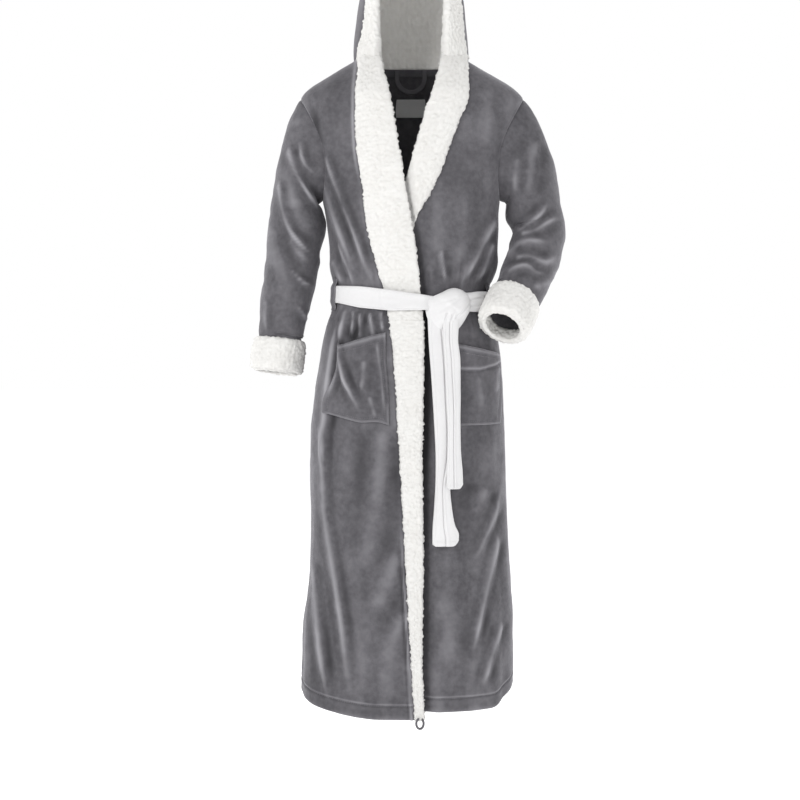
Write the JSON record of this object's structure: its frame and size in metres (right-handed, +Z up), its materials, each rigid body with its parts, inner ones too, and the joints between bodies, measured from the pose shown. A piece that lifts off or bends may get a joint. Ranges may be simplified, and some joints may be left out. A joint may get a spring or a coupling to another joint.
{
  "type": "hooded bathrobe",
  "caption": "Ankle-length hooded wrap bathrobe with fleece bands, turned-back cuffs, patch pockets and a tied belt.",
  "frame": {"origin": "middle of the shoulder seat, where the neck ring rests on the wearer", "axes": "+X is the wearer's left, -Y the front, +Z up along the robe's length"},
  "size_m": [0.6746, 0.3694, 1.6748],
  "materials": {
    "plush": "soft grey plush with a short pile and a velvet sheen",
    "sherpa": "white sherpa fleece with small curled tufts",
    "belt_cloth": "smooth white brushed cloth",
    "tape_cloth": "grey woven tape",
    "label_cloth": "blank white woven label"
  },
  "bodies": {
    "robe": {"back_panel": "plush", "over_bodice": "plush", "under_front": "plush", "over_band_upper": "sherpa", "under_band": "sherpa", "left_pocket": "plush", "right_belt_loop": "plush", "left_belt_loop": "plush", "belt_waist": "belt_cloth", "belt_knot": "belt_cloth", "neck_tape": "tape_cloth", "neck_label": "label_cloth"},
    "hood": {"hood_shell_right": "plush", "hood_shell_left": "plush", "hood_lining_right": "sherpa", "hood_lining_left": "sherpa", "hood_trim_right": "sherpa", "hood_trim_left": "sherpa"},
    "right_arm": {"right_sleeve": "plush", "right_cuff": "sherpa"},
    "left_arm": {"left_sleeve": "plush", "left_cuff": "sherpa"},
    "skirt_flap": {"over_skirt": "plush", "over_band_lower": "sherpa", "right_pocket": "plush"},
    "long_tail": {"belt_tail_long": "belt_cloth"},
    "short_tail": {"belt_tail_short": "belt_cloth"},
    "hanger_tape": {"hang_loop": "tape_cloth"}
  },
  "joints": [
    {"name": "hood_fold_back", "type": "hinge", "parent": "robe", "child": "hood", "pos_m": [0, 0.102, 0], "axis": [-1, 0, 0], "range_deg": [0, 95]},
    {"name": "right_sleeve_lift", "type": "hinge", "parent": "robe", "child": "right_arm", "pos_m": [-0.24, 0, -0.082], "axis": [0, 1, 0], "range_deg": [0, 80]},
    {"name": "left_sleeve_lift", "type": "hinge", "parent": "robe", "child": "left_arm", "pos_m": [0.243, 0, -0.082], "axis": [0, -1, 0], "range_deg": [0, 80]},
    {"name": "skirt_flap_lift", "type": "hinge", "parent": "robe", "child": "skirt_flap", "pos_m": [-0.08, -0.138, -0.546], "axis": [-1, 0, 0], "range_deg": [0, 35]},
    {"name": "long_tail_swing", "type": "hinge", "parent": "robe", "child": "long_tail", "pos_m": [0.051, -0.128, -0.531], "axis": [-1, 0, 0], "range_deg": [0, 70]},
    {"name": "short_tail_swing", "type": "hinge", "parent": "robe", "child": "short_tail", "pos_m": [0.083, -0.127, -0.531], "axis": [-1, 0, 0], "range_deg": [0, 70]},
    {"name": "hang_loop_flip", "type": "hinge", "parent": "robe", "child": "hanger_tape", "pos_m": [0, 0.0885, -0.004], "axis": [-1, 0, 0], "range_deg": [0, 85]}
  ]
}
